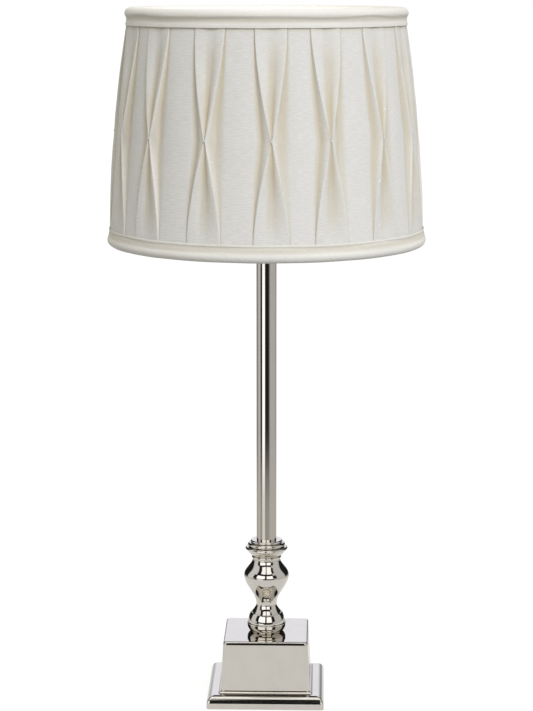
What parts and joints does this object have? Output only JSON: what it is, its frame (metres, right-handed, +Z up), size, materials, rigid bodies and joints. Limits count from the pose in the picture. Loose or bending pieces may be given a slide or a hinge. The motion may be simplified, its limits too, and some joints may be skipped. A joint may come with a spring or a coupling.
{
  "type": "table lamp",
  "caption": "Table lamp with a square stepped base, turned baluster and slim tube of polished metal, under a round linen shade with pinched pleats.",
  "frame": {"origin": "on the table, under the middle of the square base", "axes": "+Z up along the column; -Y towards the front, the cord's bush on the +Y side"},
  "size_m": [0.3, 0.3, 0.6625],
  "materials": {
    "polished_nickel": "polished nickel plate",
    "cast_iron": "rough cast",
    "zinc_steel": "zinc plated",
    "felt": "pressed felt",
    "black_moulding": "satin",
    "insert_moulding": "satin",
    "contact_brass": "plain",
    "lamp_metal": "satin",
    "lamp_glass": "glossy",
    "lamp_plastic": "satin",
    "opal_diffuser": "opal",
    "frame_wire": "white coat",
    "liner": "matt white",
    "linen": "plain weave",
    "linen_tape": "plain weave",
    "thread": "twisted"
  },
  "bodies": {
    "stand": {"foot_moulding": "polished_nickel", "plinth_box": "polished_nickel", "weight_block": "cast_iron", "bottom_plate": "zinc_steel", "plate_screws": "zinc_steel", "felt_pad": "felt", "cord_bush": "black_moulding", "tie_rod": "zinc_steel", "rod_washer": "zinc_steel", "lower_rod_nut": "zinc_steel", "upper_rod_nut": "zinc_steel", "base_torus": "polished_nickel", "dome_turning": "polished_nickel", "vase_turning": "polished_nickel", "ring_collar": "polished_nickel", "column_tube": "polished_nickel", "tube_cap": "polished_nickel", "holder_cap": "black_moulding", "holder_skirt": "black_moulding", "holder_insert": "insert_moulding", "screw_shell": "contact_brass", "centre_contact": "contact_brass"},
    "switch": {"switch_bar": "black_moulding"},
    "lower_ring": {"lower_shade_ring": "black_moulding"},
    "upper_ring": {"upper_shade_ring": "black_moulding"},
    "bulb": {"lamp_tip_contact": "lamp_metal", "lamp_glaze": "lamp_glass", "lamp_cap": "lamp_metal", "lamp_body": "lamp_plastic", "lamp_diffuser": "opal_diffuser"},
    "shade": {"carrier_ring": "frame_wire", "carrier_arms": "frame_wire", "bottom_wire": "frame_wire", "top_wire": "frame_wire", "liner_drum": "liner", "shade_cover": "linen", "pinch_tacks": "thread", "bottom_trim": "linen_tape", "top_trim": "linen_tape"}
  },
  "joints": [
    {"name": "switch_slide", "type": "slide", "parent": "stand", "child": "switch", "axis": [1, 0, 0], "range_m": [0, 0.007]},
    {"name": "lower_ring_turn", "type": "hinge", "parent": "stand", "child": "lower_ring", "pos_m": [0, 0, 0.49685], "axis": [0, 0, 1], "continuous": true},
    {"name": "upper_ring_turn", "type": "hinge", "parent": "stand", "child": "upper_ring", "pos_m": [0, 0, 0.50345], "axis": [0, 0, 1], "continuous": true},
    {"name": "bulb_turn", "type": "hinge", "parent": "stand", "child": "bulb", "pos_m": [0, 0, 0.516], "axis": [0, 0, 1], "continuous": true},
    {"name": "shade_swivel", "type": "hinge", "parent": "stand", "child": "shade", "pos_m": [0, 0, 0.5], "axis": [0, 0, 1], "continuous": true}
  ]
}
